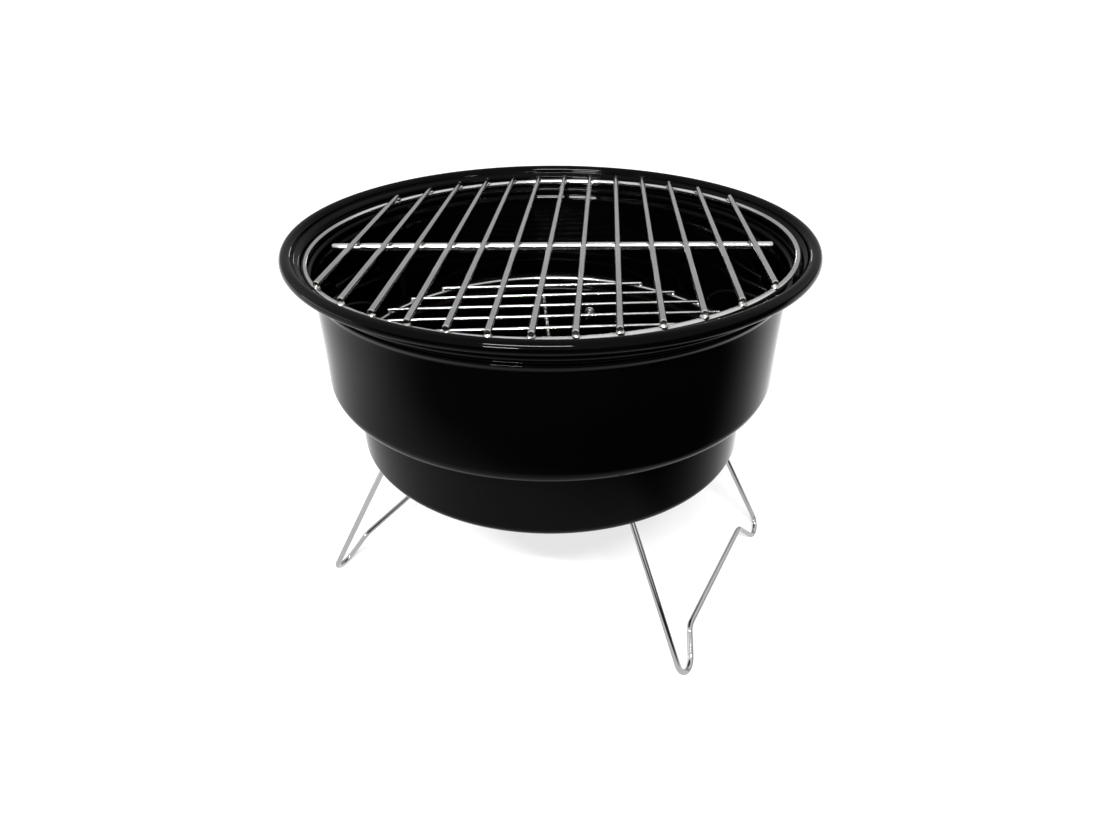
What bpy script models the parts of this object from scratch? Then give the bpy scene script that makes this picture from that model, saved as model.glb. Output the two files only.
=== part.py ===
import math
import bpy
import bmesh
from mathutils import Matrix
from mathutils import Vector

for old in list(bpy.data.objects):
    bpy.data.objects.remove(old)

# Clearances
gap = 0.0003
joint_gap = 0.0004

# Overall sizes: the grate's ring sets the bowl's width, three heights set its depth
grate_ring_radius = 0.1200
base_height = 0.1018
drum_depth = 0.0381
wall_depth = 0.0640
recess_depth = 0.0078

# Bowl
sheet = 0.0010
ledge_width = 0.0019
wall_taper = 0.0010
shoulder_step = 0.0118
drum_taper = 0.0008
base_corner = 0.0059
drum_top_round = 0.0015
shoulder_round = 0.0081
wall_middle = 0.4
ledge_round = 0.0014
recess_round = 0.0008
lip_root = 0.0010
lip_reach = 0.0077
lip_roll = 0.0031
lip_slope = 0.0024
bead_rise = 0.0009
bead_above = 0.0012
bead_below = 0.0030
bead_drop = 0.0037

# Cooking grate
grate_wire = 0.0030
grate_bar_wire = 0.0028
grate_bar_count = 13
grate_bar_share = 0.135
grate_bar_shift = 0.0012
grate_bar_overhang = 0.0012
grate_cross_wire = 0.0036
grate_cross_shift = -0.0094
grate_cross_turn = math.radians(1.0)
grate_cross_inset = 0.0112
grate_turn = math.radians(24.8)
grate_lean = math.radians(1.39)
grate_lean_azimuth = math.radians(252.1)

# Charcoal grate
coal_ring_wire = 0.0028
coal_wire = 0.0022
coal_wire_count = 12
coal_wire_share = 0.1441
coal_wire_shift = 0.0030
coal_turn = math.radians(31.9)
coal_seat_inset = 0.0034
coal_cross_overhang = 0.0016

# Legs
leg_wire = 0.0032
hinge_edge_inset = 0.0355
hinge_half = 0.0559
leg_lean = math.radians(25.74)
side_splay = math.radians(8.6)
foot_bend = 0.0080
toe_run = 0.0287
toe_rise = 0.0349
knee_bend = 0.0070
hinge_bend = 0.0040
tail_bend = 0.0030
hinge_run = 0.0260
tail_length = 0.0110
right_leg_shift = 0.0153
left_leg_shift = -0.0100

# Clips and fasteners
clip_width = 0.0120
clip_sheet = 0.0012
clip_inset = 0.0129
clip_tab = 0.0131
clip_toe = 0.0030
screw_inset = 0.0085
screw_radius = 0.0015
screw_chamfer = 0.0003
screw_head_radius = 0.0029
screw_head_height = 0.0018
screw_head_outline = ((0.55, 1.0), (0.88, 0.62), (1.0, 0.25))
screw_hole_radius = 0.0018
screw_end = 0.0012
nut_radius = 0.0032
nut_height = 0.0024
washer_radius = 0.0035
washer_thickness = 0.0006
side_screw_drop = 0.0155
side_screw_azimuth = math.radians(103.85)
side_screw_play = 0.0003
side_screw_end = 0.0060

# Facets
bowl_segments = 56
ring_steps = 56
wire_sides = 8
fine_sides = 16
nut_sides = 6
small_arc_steps = 2
corner_steps = 4
bend_steps = 5
shoulder_steps = 6
lip_steps = 9
merge_distance = 0.00001
bore_length = 0.008

# Sizes that follow from the ones above
shoulder_under = base_height + drum_depth
ledge_height = shoulder_under + wall_depth
ledge_under = ledge_height - sheet
lip_height = ledge_height + recess_depth
lip_bottom = lip_height - lip_roll
floor_top = base_height + sheet
neck_radius = grate_ring_radius - ledge_width
shoulder_radius = neck_radius - wall_taper
drum_top_radius = shoulder_radius - shoulder_step
drum_radius = drum_top_radius - drum_taper
recess_radius = grate_ring_radius + 0.5 * grate_wire + joint_gap
recess_outer = recess_radius + sheet
lip_centre_radius = grate_ring_radius + lip_reach
shoulder_centre_z = shoulder_under + shoulder_round
shoulder_centre_r = shoulder_radius - shoulder_round
base_flat_radius = drum_radius - base_corner
hinge_reach = base_flat_radius - hinge_edge_inset
hinge_height = base_height - joint_gap - 0.5 * leg_wire


def finish(me, name, material, smooth=True):
    me.name = name
    me.materials.clear()
    me.materials.append(material)
    obj = bpy.data.objects.new(name, me)
    bpy.context.scene.collection.objects.link(obj)
    if smooth:
        me.shade_smooth()
    return obj


def make_material(name, colour, roughness, metallic):
    mat = bpy.data.materials.new(name)
    mat.use_nodes = True
    shader = mat.node_tree.nodes["Principled BSDF"]
    shader.inputs["Base Color"].default_value = (colour[0], colour[1], colour[2], 1.0)
    shader.inputs["Roughness"].default_value = roughness
    shader.inputs["Metallic"].default_value = metallic
    mat.diffuse_color = (colour[0], colour[1], colour[2], 1.0)
    return mat


def arc(cx, cz, radius, start, end, count):
    points = []
    for i in range(count + 1):
        t = math.radians(start + (end - start) * i / count)
        points.append((cx + radius * math.cos(t), cz + radius * math.sin(t)))
    return points


def lathe(points, steps):
    bm = bmesh.new()
    verts = [bm.verts.new((r, 0.0, z)) for r, z in points]
    edges = [bm.edges.new((a, b)) for a, b in zip(verts, verts[1:])]
    bmesh.ops.spin(
        bm, geom=verts + edges, cent=(0.0, 0.0, 0.0), axis=(0.0, 0.0, 1.0),
        angle=2.0 * math.pi, steps=steps, use_merge=True)
    bmesh.ops.remove_doubles(bm, verts=bm.verts, dist=merge_distance)
    bmesh.ops.recalc_face_normals(bm, faces=bm.faces)
    me = bpy.data.meshes.new("lathe")
    bm.to_mesh(me)
    bm.free()
    return me


def rod(radius, length, sides, centre, direction):
    bm = bmesh.new()
    bmesh.ops.create_cone(
        bm, cap_ends=True, cap_tris=False, segments=sides,
        radius1=radius, radius2=radius, depth=length)
    turn = Vector((0.0, 0.0, 1.0)).rotation_difference(Vector(direction)).to_matrix().to_4x4()
    bmesh.ops.transform(bm, matrix=Matrix.Translation(centre) @ turn, verts=bm.verts)
    bmesh.ops.recalc_face_normals(bm, faces=bm.faces)
    me = bpy.data.meshes.new("rod")
    bm.to_mesh(me)
    bm.free()
    return me


def wire_ring(radius, wire):
    bm = bmesh.new()
    section = []
    for i in range(wire_sides):
        t = 2.0 * math.pi * (i + 0.5) / wire_sides
        section.append(bm.verts.new((
            radius + 0.5 * wire * math.cos(t), 0.0, 0.5 * wire * math.sin(t))))
    edges = [bm.edges.new((a, b)) for a, b in zip(section, section[1:] + section[:1])]
    bmesh.ops.spin(
        bm, geom=section + edges, cent=(0.0, 0.0, 0.0), axis=(0.0, 0.0, 1.0),
        angle=2.0 * math.pi, steps=ring_steps, use_merge=True)
    bmesh.ops.recalc_face_normals(bm, faces=bm.faces)
    me = bpy.data.meshes.new("ring")
    bm.to_mesh(me)
    bm.free()
    return me


def move_mesh(me, matrix):
    me.transform(matrix)
    return me


def rounded_path(corners, bends):
    points = [Vector(corners[0])]
    for before, corner, after, bend in zip(corners, corners[1:], corners[2:], bends):
        here = Vector(corner)
        back = (Vector(before) - here).normalized()
        ahead = (Vector(after) - here).normalized()
        half = 0.5 * back.angle(ahead)
        centre = here + (back + ahead).normalized() * (bend / math.sin(half))
        a = here + back * (bend / math.tan(half)) - centre
        b = here + ahead * (bend / math.tan(half)) - centre
        sweep = a.angle(b)
        for k in range(bend_steps + 1):
            f = k / bend_steps
            p = (a * math.sin((1.0 - f) * sweep) + b * math.sin(f * sweep)) / math.sin(sweep)
            points.append(centre + p)
    points.append(Vector(corners[-1]))
    return points


def bent_wire(points, wire, name):
    curve = bpy.data.curves.new(name + "_path", "CURVE")
    curve.dimensions = "3D"
    curve.twist_mode = "MINIMUM"
    curve.bevel_depth = 0.5 * wire
    curve.bevel_resolution = 2
    curve.use_fill_caps = True
    spline = curve.splines.new("POLY")
    spline.points.add(len(points) - 1)
    for p, q in zip(spline.points, points):
        p.co = (q[0], q[1], q[2], 1.0)
    holder = bpy.data.objects.new(name + "_path", curve)
    bpy.context.scene.collection.objects.link(holder)
    graph = bpy.context.evaluated_depsgraph_get()
    me = bpy.data.meshes.new_from_object(holder.evaluated_get(graph))
    bpy.data.objects.remove(holder)
    bm = bmesh.new()
    bm.from_mesh(me)
    bmesh.ops.remove_doubles(bm, verts=bm.verts, dist=merge_distance)
    bmesh.ops.recalc_face_normals(bm, faces=bm.faces)
    bm.to_mesh(me)
    bm.free()
    return me


def bore(obj, centre, direction, radius):
    material = obj.data.materials[0]
    tool = bpy.data.objects.new("bore_tool", rod(radius, bore_length, fine_sides, centre, direction))
    bpy.context.scene.collection.objects.link(tool)
    tool.hide_render = True
    tool.display_type = "WIRE"
    cut = obj.modifiers.new("bore", "BOOLEAN")
    cut.operation = "DIFFERENCE"
    cut.solver = "EXACT"
    cut.object = tool
    graph = bpy.context.evaluated_depsgraph_get()
    result = bpy.data.meshes.new_from_object(obj.evaluated_get(graph))
    obj.modifiers.clear()
    result.materials.clear()
    result.materials.append(material)
    obj.data = result
    bpy.data.objects.remove(tool)


# Materials
enamel = make_material("black_enamel", (0.012, 0.012, 0.013), 0.16, 0.0)
chrome_grate = make_material("chromed_grate_wire", (0.62, 0.62, 0.61), 0.22, 1.0)
chrome_coal = make_material("plated_coal_wire", (0.55, 0.55, 0.54), 0.26, 1.0)
chrome_leg = make_material("chromed_leg_wire", (0.66, 0.66, 0.66), 0.14, 1.0)
zinc = make_material("zinc_plate", (0.48, 0.49, 0.50), 0.34, 1.0)
screw_steel = make_material("screw_steel", (0.56, 0.56, 0.57), 0.28, 1.0)


def wall_radius(z):
    t = (z - shoulder_centre_z) / (ledge_under - shoulder_centre_z)
    return shoulder_radius + (neck_radius - shoulder_radius) * t * t


def wall_side(offset):
    z = shoulder_centre_z + wall_middle * (ledge_under - shoulder_centre_z)
    points = [(wall_radius(z) - offset, z)]
    for step, rise in ((-bead_below, 0.0), (0.0, bead_rise), (bead_above, 0.0)):
        z = ledge_under - bead_drop + step
        points.append((wall_radius(z) + rise - offset, z))
    return points


# Bowl outline, from the middle of the base up the outside, over the lip and down the inside
foot_r = drum_top_radius + drum_top_round
foot_z = shoulder_under - drum_top_round
outline = [(0.0, base_height)]
outline += arc(
    base_flat_radius, base_height + base_corner, base_corner, -90.0, 0.0, corner_steps)
outline += arc(foot_r, foot_z, drum_top_round, 180.0, 90.0, small_arc_steps)
outline += arc(shoulder_centre_r, shoulder_centre_z, shoulder_round, -90.0, 0.0, shoulder_steps)
outline += wall_side(0.0)
outline += [
    (neck_radius, ledge_under - ledge_round),
    (neck_radius + ledge_round, ledge_under),
    (recess_outer - recess_round, ledge_under),
    (recess_outer, ledge_under + recess_round),
    (recess_outer, lip_bottom - lip_root),
    (recess_outer + lip_root, lip_bottom)]
outline += arc(lip_centre_radius, lip_height, lip_roll, -90.0, 180.0, lip_steps)
outline += [
    (recess_radius, lip_height - lip_slope),
    (recess_radius, ledge_height),
    (neck_radius - sheet + ledge_round, ledge_height),
    (neck_radius - sheet, ledge_height - ledge_round)]
outline += list(reversed(wall_side(sheet)))
outline += arc(
    shoulder_centre_r, shoulder_centre_z, shoulder_round - sheet, 0.0, -90.0, shoulder_steps)
outline += arc(foot_r, foot_z, drum_top_round + sheet, 90.0, 180.0, small_arc_steps)
outline += arc(
    base_flat_radius, base_height + base_corner, base_corner - sheet, 0.0, -90.0, corner_steps)
outline.append((0.0, floor_top))
bowl = finish(lathe(outline, bowl_segments), "bowl", enamel)

# Screw places: four through the base, one through the back of the lower drum
leg_sides = (("right", 1.0, right_leg_shift), ("left", -1.0, left_leg_shift))
places = []
for leg_name, side, shift in leg_sides:
    for end_name, end in (("front", -1.0), ("back", 1.0)):
        label = "leg_" + leg_name + "_" + end_name
        x = side * (hinge_reach - screw_inset)
        y = shift + end * (hinge_half - clip_inset)
        places.append((label, side, x, y))
        bore(bowl, (x, y, base_height + 0.5 * sheet), (0.0, 0.0, 1.0), screw_hole_radius)
side_direction = Vector((math.cos(side_screw_azimuth), math.sin(side_screw_azimuth), 0.0))
side_z = shoulder_under - side_screw_drop
side_wall = drum_radius + drum_taper * (side_z - base_height) / drum_depth
side_centre = side_direction * (side_wall - 0.5 * sheet) + Vector((0.0, 0.0, side_z))
bore(bowl, side_centre, side_direction, screw_hole_radius)

# Cooking grate, lying a little out of level on the ledge
ring_drop = grate_ring_radius * math.sin(grate_lean)
ring_z = ledge_height + gap + 0.5 * grate_wire + ring_drop
lean_axis = Vector((math.cos(grate_lean_azimuth), math.sin(grate_lean_azimuth), 0.0))
grate_place = (
    Matrix.Translation((0.0, 0.0, ring_z))
    @ Matrix.Rotation(grate_lean, 4, lean_axis)
    @ Matrix.Rotation(grate_turn, 4, "Z"))
ring_mesh = wire_ring(grate_ring_radius, grate_wire)
finish(move_mesh(ring_mesh, grate_place), "cooking_grate_ring", chrome_grate)
bar_z = 0.5 * grate_wire + gap + 0.5 * grate_bar_wire
bar_reach = grate_ring_radius + grate_bar_overhang
bar_spacing = grate_bar_share * grate_ring_radius
for i in range(grate_bar_count):
    x = (i - 0.5 * (grate_bar_count - 1)) * bar_spacing + grate_bar_shift
    half = math.sqrt(bar_reach ** 2 - (abs(x) + 0.5 * grate_bar_wire) ** 2)
    me = rod(0.5 * grate_bar_wire, 2.0 * half, wire_sides, (x, 0.0, bar_z), (0.0, 1.0, 0.0))
    finish(move_mesh(me, grate_place), "cooking_grate_bar_%02d" % (i + 1), chrome_grate)
cross_z = bar_z - gap - 0.5 * (grate_bar_wire + grate_cross_wire)
cross_length = 2.0 * (grate_ring_radius - grate_cross_inset)
me = rod(
    0.5 * grate_cross_wire, cross_length, wire_sides, (0.0, grate_cross_shift, cross_z),
    (math.cos(grate_cross_turn), math.sin(grate_cross_turn), 0.0))
finish(move_mesh(me, grate_place), "cooking_grate_cross_wire", chrome_grate)

# Charcoal grate, its ring in the hollow of the shoulder
seat_reach = shoulder_round - sheet - joint_gap - 0.5 * coal_ring_wire
coal_ring_radius = shoulder_centre_r + coal_seat_inset
coal_ring_z = shoulder_centre_z - math.sqrt(seat_reach ** 2 - coal_seat_inset ** 2)
coal_place = Matrix.Translation((0.0, 0.0, coal_ring_z)) @ Matrix.Rotation(coal_turn, 4, "Z")
ring_mesh = wire_ring(coal_ring_radius, coal_ring_wire)
finish(move_mesh(ring_mesh, coal_place), "charcoal_grate_ring", chrome_coal)
coal_wire_z = 0.5 * coal_ring_wire + gap + 0.5 * coal_wire
coal_reach = coal_ring_radius + 0.5 * coal_ring_wire
coal_spacing = coal_wire_share * coal_ring_radius
coal_rows = []
for i in range(coal_wire_count):
    y = (i - 0.5 * (coal_wire_count - 1)) * coal_spacing + coal_wire_shift
    coal_rows.append(y)
    half = math.sqrt(coal_reach ** 2 - (abs(y) + 0.5 * coal_wire) ** 2)
    me = rod(0.5 * coal_wire, 2.0 * half, wire_sides, (0.0, y, coal_wire_z), (1.0, 0.0, 0.0))
    finish(move_mesh(me, coal_place), "charcoal_grate_wire_%02d" % (i + 1), chrome_coal)
cross_start = coal_rows[1] - coal_cross_overhang
cross_end = coal_rows[-2] + coal_cross_overhang
me = rod(
    0.5 * coal_wire, cross_end - cross_start, wire_sides,
    (0.0, 0.5 * (cross_start + cross_end), coal_wire_z - coal_wire - gap), (0.0, 1.0, 0.0))
finish(move_mesh(me, coal_place), "charcoal_grate_cross_wire", chrome_coal)

# Legs: the frame is drawn in its own plane, y along the hinge, depth down the leg
splay = math.tan(side_splay)
rise_direction = Vector((splay, 1.0)).normalized()
toe_direction = Vector((toe_run, toe_rise)).normalized()
foot_half_angle = 0.5 * rise_direction.angle(toe_direction)
foot_bisector = (rise_direction + toe_direction).normalized()
foot_lift = foot_bend * (foot_bisector.y / math.sin(foot_half_angle) - 1.0)
foot_depth = (hinge_height - 0.5 * leg_wire) / math.cos(leg_lean)
vertex_depth = foot_depth + foot_lift
vertex_half = hinge_half + splay * vertex_depth
knee_half = vertex_half - toe_run
knee_depth = vertex_depth - toe_rise
tail_y = hinge_half - hinge_run


def leg_point(y, depth, side, shift, outward=0.0):
    x = side * (math.sin(leg_lean) * depth + outward)
    return Vector((x, shift + y, -math.cos(leg_lean) * depth))


for leg_name, side, shift in leg_sides:
    corners = [
        leg_point(-tail_y, 0.0, side, shift, tail_length),
        leg_point(-tail_y, 0.0, side, shift),
        leg_point(-hinge_half, 0.0, side, shift),
        leg_point(-vertex_half, vertex_depth, side, shift),
        leg_point(-knee_half, knee_depth, side, shift),
        leg_point(knee_half, knee_depth, side, shift),
        leg_point(vertex_half, vertex_depth, side, shift),
        leg_point(hinge_half, 0.0, side, shift),
        leg_point(tail_y, 0.0, side, shift),
        leg_point(tail_y, 0.0, side, shift, tail_length)]
    bends = [tail_bend, hinge_bend, foot_bend, knee_bend, knee_bend, foot_bend, hinge_bend, tail_bend]
    me = bent_wire(rounded_path(corners, bends), leg_wire, "leg_" + leg_name)
    leg = finish(me, "leg_" + leg_name, chrome_leg)
    leg.location = (side * hinge_reach, 0.0, hinge_height)


def clip_mesh(side, y):
    top = base_height - gap
    under = top - clip_sheet
    inner = 0.5 * leg_wire + gap
    outer = inner + clip_sheet
    profile = [(-clip_tab, top), (-inner, top)]
    profile += arc(0.0, hinge_height, inner, 180.0, 360.0, shoulder_steps)
    profile += [(inner, top), (outer + clip_toe, top), (outer + clip_toe, under), (outer, under)]
    profile += arc(0.0, hinge_height, outer, 360.0, 180.0, shoulder_steps)
    profile += [(-outer, under), (-clip_tab, under)]
    bm = bmesh.new()
    verts = [bm.verts.new((side * (hinge_reach + x), y - 0.5 * clip_width, z)) for x, z in profile]
    face = bm.faces.new(verts)
    grown = bmesh.ops.extrude_face_region(bm, geom=[face])
    moved = [g for g in grown["geom"] if isinstance(g, bmesh.types.BMVert)]
    bmesh.ops.translate(bm, vec=(0.0, clip_width, 0.0), verts=moved)
    bmesh.ops.recalc_face_normals(bm, faces=bm.faces)
    me = bpy.data.meshes.new("clip")
    bm.to_mesh(me)
    bm.free()
    return me


def screw_mesh(grip):
    points = [(0.0, -screw_head_height)]
    points += [
        (across * screw_head_radius, -along * screw_head_height)
        for across, along in screw_head_outline]
    points += [(screw_head_radius, 0.0), (screw_radius, 0.0)]
    points += [(screw_radius, grip - screw_chamfer), (screw_radius - screw_chamfer, grip), (0.0, grip)]
    return lathe(points, fine_sides)


def washer_mesh(height):
    top = height + washer_thickness
    points = [(screw_hole_radius, height), (washer_radius, height), (washer_radius, top)]
    points += [(screw_hole_radius, top), (screw_hole_radius, height)]
    return lathe(points, fine_sides)


def add_screw_set(screw_name, prefix, place, stack, end):
    nut_start = stack + washer_thickness + gap
    finish(move_mesh(screw_mesh(nut_start + nut_height + end), place), screw_name, screw_steel)
    finish(move_mesh(washer_mesh(stack), place), prefix + "washer", zinc)
    centre = Vector((0.0, 0.0, nut_start + 0.5 * nut_height))
    nut_mesh = rod(nut_radius, nut_height, nut_sides, centre, (0.0, 0.0, 1.0))
    nut = finish(move_mesh(nut_mesh, place), prefix + "nut", zinc, False)
    bore(nut, place @ centre, place.to_3x3() @ Vector((0.0, 0.0, 1.0)), screw_radius + gap)


# Clips, each with its screw from below, washer and nut on the bowl's floor
clip_under = base_height - gap - clip_sheet
screw_bearing = clip_under - gap
for label, side, x, y in places:
    clip = finish(clip_mesh(side, y), label + "_clip", zinc, False)
    bore(clip, (x, y, clip_under + 0.5 * clip_sheet), (0.0, 0.0, 1.0), screw_hole_radius)
    place = Matrix.Translation((x, y, screw_bearing))
    stack = floor_top + gap - screw_bearing
    add_screw_set(label + "_screw", label + "_", place, stack, screw_end)

# Screw through the back of the lower drum, its head outside, its nut inside with a corner up
turn = Vector((0.0, 0.0, 1.0)).rotation_difference(-side_direction).to_matrix().to_4x4()
corner_up = Matrix.Rotation(side_screw_azimuth - math.radians(90.0), 4, "Z")
head_at = side_wall + gap + side_screw_play
head_centre = side_direction * head_at + Vector((0.0, 0.0, side_z))
head_place = Matrix.Translation(head_centre) @ turn @ corner_up
drum_set_stack = sheet + 2.0 * (gap + side_screw_play)
add_screw_set("drum_screw", "drum_screw_", head_place, drum_set_stack, side_screw_end)
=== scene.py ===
import math
import bpy
from mathutils import Matrix
from mathutils import Vector


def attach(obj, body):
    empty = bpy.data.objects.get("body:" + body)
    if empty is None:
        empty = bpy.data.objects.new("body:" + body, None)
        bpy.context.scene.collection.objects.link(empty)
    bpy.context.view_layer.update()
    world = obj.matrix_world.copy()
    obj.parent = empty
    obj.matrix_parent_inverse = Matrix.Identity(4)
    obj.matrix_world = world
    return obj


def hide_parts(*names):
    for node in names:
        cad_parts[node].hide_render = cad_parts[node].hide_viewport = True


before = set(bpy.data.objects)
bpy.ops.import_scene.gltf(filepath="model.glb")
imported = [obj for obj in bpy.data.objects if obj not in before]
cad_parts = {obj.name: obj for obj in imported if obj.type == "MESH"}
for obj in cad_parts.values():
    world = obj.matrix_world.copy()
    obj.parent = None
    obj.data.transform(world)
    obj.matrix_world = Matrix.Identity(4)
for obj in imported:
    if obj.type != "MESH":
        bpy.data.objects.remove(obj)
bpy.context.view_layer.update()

# Clearances, in metres as every size here
gap = 0.0003
joint_gap = 0.0004

# Bowl sizes
sheet = 0.0010
base_height = 0.1018
shoulder_under = 0.1399
ledge_height = 0.2039
ledge_under = ledge_height - sheet
lip_height = 0.2117
drum_radius = 0.1045
drum_top_radius = 0.1053
base_corner = 0.0059
base_flat_radius = drum_radius - base_corner
drum_top_round = 0.0015
shoulder_radius = 0.1171
shoulder_round = 0.0081
shoulder_centre_r = shoulder_radius - shoulder_round
shoulder_centre_z = shoulder_under + shoulder_round
neck_radius = 0.1181
ledge_round = 0.0014
ledge_bend = 0.0022
recess_radius = 0.1219
recess_outer = recess_radius + sheet
lip_centre_radius = 0.1277
lip_roll = 0.0031
lip_slope = 0.0030
lip_slope_tail = 0.0004
lip_meet = 0.00005
lip_leans_under = (0.0018, 0.0016)
lip_leans_above = (0.0014, 0.0013)
bead_rise = 0.0011
bead_above = 0.0012
bead_below = 0.0030
bead_drop = 0.0037

# Cooking grate sizes
grate_ring_radius = 0.1200
grate_wire = 0.0030
grate_bar_wire = 0.0028
grate_bar_count = 13
grate_bar_spacing = 0.0162
grate_bar_shift = 0.0012
grate_bar_reach = 0.1212
grate_cross_wire = 0.0036
grate_cross_shift = -0.0094
grate_cross_turn = math.radians(1.0)
grate_cross_half = 0.1088
grate_turn = math.radians(24.8)
grate_lean = math.radians(1.39)
grate_lean_azimuth = math.radians(252.1)
grate_seam_azimuth = math.radians(97.0)
grate_stain_reach = 0.0052
lump_sink = 0.0002
lump_at_ring = 1.12
lump_at_cross = 0.72

# Charcoal grate sizes
coal_ring_wire = 0.0028
coal_wire = 0.0022
coal_wire_count = 12
coal_wire_spacing = 0.0162
coal_wire_shift = 0.0030
coal_turn = math.radians(31.9)
coal_seat_inset = 0.0034
coal_cross_overhang = 0.0016
coal_seam_azimuth = math.radians(200.0)
coal_stain_reach = 0.0044
coal_lump_at_cross = 0.85

# Leg sizes
leg_wire = 0.0032
hinge_reach = 0.0631
hinge_half = 0.0559
hinge_height = base_height - joint_gap - 0.5 * leg_wire
leg_lean = math.radians(25.74)
side_splay = math.radians(8.6)
foot_bend = 0.0080
toe_run = 0.0287
toe_rise = 0.0349
knee_bend = 0.0070
hinge_bend = 0.0040
tail_bend = 0.0030
hinge_run = 0.0260
tail_length = 0.0110
leg_shifts = {"right": 0.0153, "left": -0.0100}
leg_sides = {"right": 1.0, "left": -1.0}

# Clip, screw, washer and nut sizes
clip_width = 0.0120
clip_sheet = 0.0012
clip_inset = 0.0129
clip_tab = 0.0131
clip_toe = 0.0030
clip_edge = 0.00022
screw_inset = 0.0085
screw_radius = 0.0015
screw_pitch = 0.0005
thread_depth = 0.0003
screw_chamfer = 0.0003
screw_head_radius = 0.0029
screw_head_height = 0.0018
screw_hole_radius = 0.0018
screw_end = 0.0012
recess_length = 0.0030
recess_width = 0.0006
recess_depth = 0.0020
recess_taper = (0.45, 0.6, 1.0)
nut_radius = 0.0032
nut_height = 0.0024
nut_edge = 0.0001
nut_slope = 0.0004
nut_mouth_past = 0.001
nut_mouth_flare = 0.0012
nut_mouth_depth = 0.0002
washer_radius = 0.0035
washer_thickness = 0.0006
washer_edge = 0.00018
side_screw_drop = 0.0155
side_screw_azimuth = math.radians(103.85)
side_screw_play = 0.0003
side_screw_end = 0.0060

# How a straight wire is shaped. Beside each press it is round at these places, in wires
round_steps = (-2.4, -1.6, -0.9, 0.9, 1.6, 2.4)
# Along a press: the place as a share of half its length, then how wide and how high the wire is
half_press_share = 0.55
squeeze = (
    (-1.0, 1.0, 1.0), (-0.5, 1.03, 0.96), (0.0, 1.05, 0.93), (0.5, 1.03, 0.96), (1.0, 1.0, 1.0))
# At a cut end: how long the chamfer is, in wires, and how much of the section is left
chamfer_share = 0.16
end_share = 0.80

# How fine the meshes are
merge_distance = 0.000004
bowl_turns = 168
wall_steps = 10
bead_steps = 24
wire_sides = 18
ring_steps = 192
bend_steps = 14
hole_sides = 28
screw_turns = 28
washer_turns = 36
bore_turns = 24

# How long the drills are that cut the screw holes
bowl_drill = 0.006
clip_drill = 0.004


# Ways of working, each one used by several pieces
def work_on(piece):
    bpy.ops.object.select_all(action="DESELECT")
    piece.select_set(True)
    bpy.context.view_layer.objects.active = piece


def begin_edit():
    bpy.ops.object.mode_set(mode="EDIT")
    bpy.ops.mesh.select_mode(type="VERT")


def end_edit():
    bpy.ops.object.mode_set(mode="OBJECT")


def end_edit_outward():
    """Turns all faces outward and leaves edit mode."""
    bpy.ops.mesh.select_all(action="SELECT")
    bpy.ops.mesh.normals_make_consistent(inside=False)
    end_edit()


def named(name):
    """Names the piece that the last step made."""
    piece = bpy.context.object
    piece.name = name
    piece.data.name = name
    return piece


def apply_place(piece, matrix=None):
    work_on(piece)
    if matrix is not None:
        piece.matrix_world = matrix
    bpy.ops.object.transform_apply(location=True, rotation=True, scale=True)


def copy_piece(piece, name, matrix):
    work_on(piece)
    bpy.ops.object.duplicate(linked=False)
    copy = named(name)
    apply_place(copy, matrix)
    return copy


def apply_modifier(piece, kind, **settings):
    work_on(piece)
    modifier = piece.modifiers.new(kind.lower(), kind)
    for key, value in settings.items():
        setattr(modifier, key, value)
    bpy.ops.object.modifier_apply(modifier=modifier.name)


def cut_away(piece, cutter, operation="DIFFERENCE"):
    apply_modifier(piece, "BOOLEAN", operation=operation, solver="EXACT", object=cutter)
    bpy.data.objects.remove(cutter)


def drill_hole(piece, place, length):
    """Cuts the hole of a screw, along Z of its place."""
    bpy.ops.object.select_all(action="DESELECT")
    bpy.ops.mesh.primitive_cylinder_add(
        vertices=hole_sides, radius=screw_hole_radius, depth=length)
    drill = bpy.context.object
    apply_place(drill, place)
    cut_away(piece, drill)


def smooth(piece, degrees):
    work_on(piece)
    bpy.ops.object.shade_smooth_by_angle(angle=math.radians(degrees))


def drawn_line(name, points):
    bpy.ops.object.select_all(action="DESELECT")
    bpy.ops.mesh.primitive_plane_add(size=0.001)
    piece = named(name)
    begin_edit()
    bpy.ops.mesh.merge(type="CENTER")
    bpy.ops.transform.translate(value=points[0])
    for here, there in zip(points, points[1:]):
        step = tuple(b - a for a, b in zip(here, there))
        bpy.ops.mesh.extrude_vertices_move(TRANSFORM_OT_translate={"value": step})
    return piece


def turned_piece(name, outline, turns):
    piece = drawn_line(name, [(r, 0.0, z) for r, z in outline])
    bpy.ops.mesh.select_all(action="SELECT")
    bpy.ops.mesh.spin(
        steps=turns, angle=2.0 * math.pi, center=(0.0, 0.0, 0.0), axis=(0.0, 0.0, 1.0),
        use_auto_merge=True)
    bpy.ops.mesh.select_all(action="SELECT")
    bpy.ops.mesh.remove_doubles(threshold=merge_distance)
    end_edit_outward()
    return piece


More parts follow.
